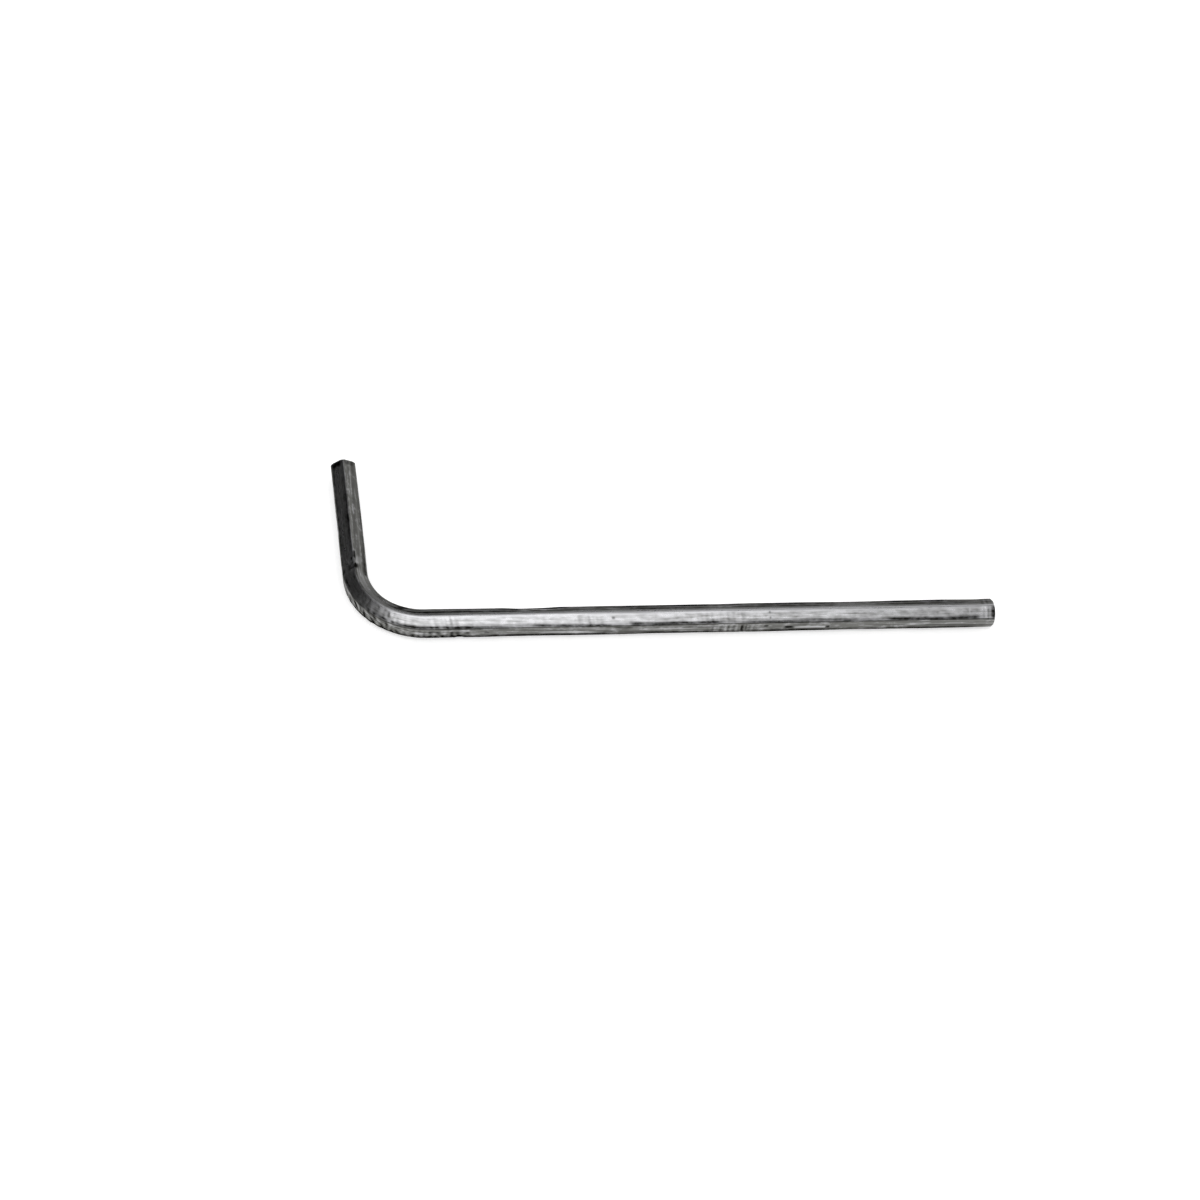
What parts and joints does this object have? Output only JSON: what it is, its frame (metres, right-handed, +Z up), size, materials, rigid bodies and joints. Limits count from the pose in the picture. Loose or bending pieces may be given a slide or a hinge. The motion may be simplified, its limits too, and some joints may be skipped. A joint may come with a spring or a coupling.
{
  "type": "hex key",
  "caption": "L-shaped steel hex key: a hexagonal bar bent square near one end, with a long and a short arm.",
  "frame": {"origin": "on the bench, under the middle of the box around the key as it lies flat", "axes": "+X along the long arm towards its end, +Y along the short arm towards its end, +Z up from the bench"},
  "size_m": [0.052, 0.018, 0.0022],
  "materials": {
    "steel": "bare drawn steel, dulled, with fine lengthwise streaks and small dark marks"
  },
  "bodies": {
    "root": {"hex_key": "steel"}
  },
  "joints": []
}
